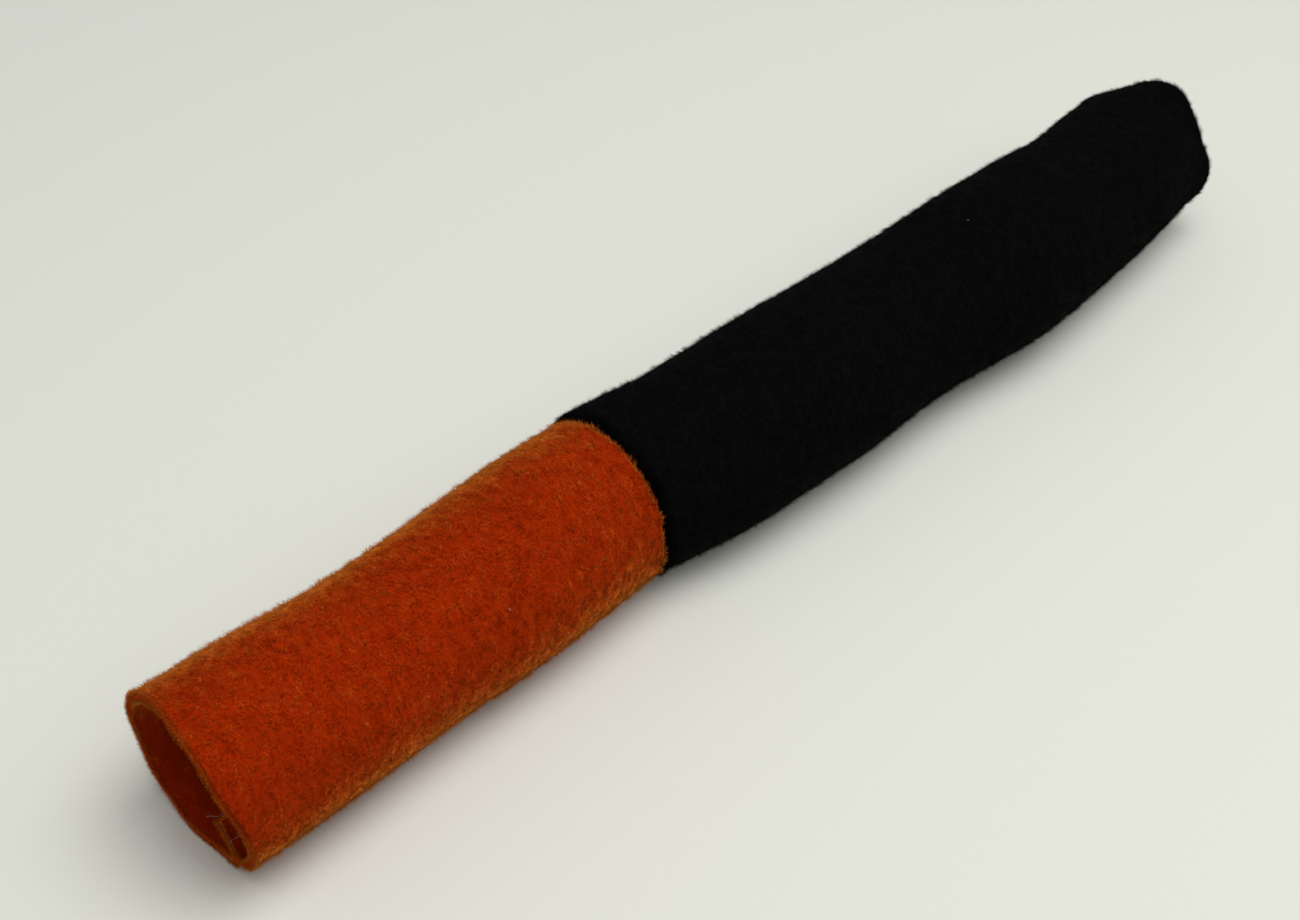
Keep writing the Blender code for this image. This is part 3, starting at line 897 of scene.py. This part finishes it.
class CRAYON_OT_lint(bpy.types.Operator):
    """Leave a few stray fibres on the nap"""
    bl_idname = "crayon.lint"
    bl_label = "Lint"

    def execute(self, context):
        generator = np.random.default_rng(SEED + 40)
        paths = []
        for grid, count in ((GRIDS["orange"], 3), (GRIDS["black"], 3)):
            rows = (10, grid.shape[0] - 50)
            columns = (grid.shape[1] // 4, 3 * grid.shape[1] // 4)
            base, normal, across, along = surface_sample(grid, count, generator, rows, columns)
            for p, n, a, b in zip(base, normal, across, along):
                turn, length = generator.uniform(0, math.tau), generator.uniform(0.5, 1.3) * MM
                way = a * math.cos(turn) + b * math.sin(turn)
                t = np.linspace(-0.5, 0.5, 12)[:, None]
                paths.append(p + n * 0.75 * MM + way * length * t
                             + np.cross(way, n) * length * 0.5 * t ** 2
                             + n * 0.15 * MM * np.sin(t * 5))
        obj = strands("lint", paths, 0.03 * MM, finish("polyester fibre"), sides=4)
        finish_piece(obj, "fibre")
        return {"FINISHED"}


# ---------------------------------------------------------------- stage

class CRAYON_OT_stage(bpy.types.Operator):
    """Set the floor, the soft lights and the camera"""
    bl_idname = "crayon.stage"
    bl_label = "Stage"

    lens: FloatProperty(name="Lens", default=47.1, description="Focal length in millimetres")
    yaw: FloatProperty(name="Yaw", default=math.radians(45.12), unit="ROTATION",
                       description="Camera heading from +X towards +Y")
    pitch: FloatProperty(name="Pitch", default=math.radians(-39.76), unit="ROTATION",
                         description="Camera tilt")
    away: FloatVectorProperty(name="Away", default=(-4.21, -10.34, 12.51),
                              description="Camera place from the mouth's centre, in mouth radii")

    def execute(self, context):
        self.floor()
        self.lights(context)
        self.camera(context)
        return {"FINISHED"}

    def floor(self):
        bpy.ops.object.select_all(action="DESELECT")
        bpy.ops.mesh.primitive_plane_add(size=8, location=(0, 0, 0))
        floor = bpy.context.object
        floor.name = "floor"
        made = bpy.data.materials.new("pale sheet")
        made.use_nodes = True
        tree = made.node_tree
        shader = tree.nodes["Principled BSDF"]
        shader.inputs["Base Color"].default_value = (*colours().floor, 1)
        shader.inputs["Roughness"].default_value = 0.8
        shader.inputs["Specular IOR Level"].default_value = 0.2
        place = add_node(tree, "ShaderNodeTexCoord").outputs["Object"]
        grain = add_node(tree, "ShaderNodeTexNoise", [("Vector", place)], scale=1 / (1.8 * MM),
                         detail=3.0)
        height = add_node(tree, "ShaderNodeBump", [("Height", grain.outputs["Fac"])], strength=0.25,
                          distance=0.2 * MM)
        tree.links.new(shader.inputs["Normal"], height.outputs["Normal"])
        floor.data.materials.append(made)

    def lights(self, context):
        world = bpy.data.worlds.new("soft room")
        world.use_nodes = True
        background = world.node_tree.nodes["Background"]
        background.inputs["Color"].default_value = (*srgb("#FFFFFF"), 1)
        background.inputs["Strength"].default_value = 0.36
        context.scene.world = world
        for name, place, power, size in (("window", (0.40, -0.70, 2.5), 31.0, 1.8),
                                         ("lamp", (0.02, -0.30, 0.72), 2.6, 0.9)):
            data = bpy.data.lights.new(name, "AREA")
            data.energy, data.size = power, size
            lamp = bpy.data.objects.new(name, data)
            lamp.location = place
            lamp.rotation_euler = Vector(place).to_track_quat("Z", "Y").to_euler()
            context.scene.collection.objects.link(lamp)

    def camera(self, context):
        tube = orange_tube()
        y, z, radius = (float(a) for a in tube.at(np.array(MOUTH_X)))
        place = Vector((MOUTH_X, y, z)) + radius * Vector(self.away)
        data = bpy.data.cameras.new("camera")
        data.lens, data.sensor_width = self.lens, 36.0
        data.clip_start = 0.01
        camera = bpy.data.objects.new("camera", data)
        camera.location = place
        ahead = Vector((math.cos(self.pitch) * math.cos(self.yaw),
                        math.cos(self.pitch) * math.sin(self.yaw), math.sin(self.pitch)))
        camera.rotation_euler = ahead.to_track_quat("-Z", "Y").to_euler()
        context.scene.collection.objects.link(camera)
        context.scene.camera = camera
        context.scene.view_settings.view_transform = "Standard"


class CRAYON_PT_panel(bpy.types.Panel):
    bl_idname = "CRAYON_PT_panel"
    bl_label = "Soft fleece crayon"
    bl_space_type = "VIEW_3D"
    bl_region_type = "UI"
    bl_category = "Crayon"

    def draw(self, context):
        for group in (sizes(), nap(), colours()):
            box = self.layout.box()
            for name in group.bl_rna.properties.keys():
                if name not in ("rna_type", "name"):
                    box.prop(group, name)
        for operator in OPERATORS:
            self.layout.operator(operator.bl_idname)


OPERATORS = (CRAYON_OT_orange_sleeve, CRAYON_OT_black_sleeve, CRAYON_OT_nap, CRAYON_OT_cut_edge,
             CRAYON_OT_threads, CRAYON_OT_filling, CRAYON_OT_lint, CRAYON_OT_stage)
GROUPS = {"crayon_sizes": CrayonSizes, "crayon_nap": CrayonNap, "crayon_colours": CrayonColours}


def register():
    for kind in (*GROUPS.values(), *OPERATORS, CRAYON_PT_panel):
        bpy.utils.register_class(kind)
    for name, kind in GROUPS.items():
        setattr(bpy.types.Scene, name, PointerProperty(type=kind))


def unregister():
    for name in GROUPS:
        delattr(bpy.types.Scene, name)
    for kind in (CRAYON_PT_panel, *reversed(OPERATORS), *reversed(tuple(GROUPS.values()))):
        bpy.utils.unregister_class(kind)


def main():
    register()
    bpy.ops.crayon.orange_sleeve()
    bpy.ops.crayon.black_sleeve()
    bpy.ops.crayon.nap()
    bpy.ops.crayon.cut_edge()
    bpy.ops.crayon.threads()
    bpy.ops.crayon.filling()
    bpy.ops.crayon.lint()
    bpy.ops.crayon.stage()


if __name__ == "__main__":
    main()
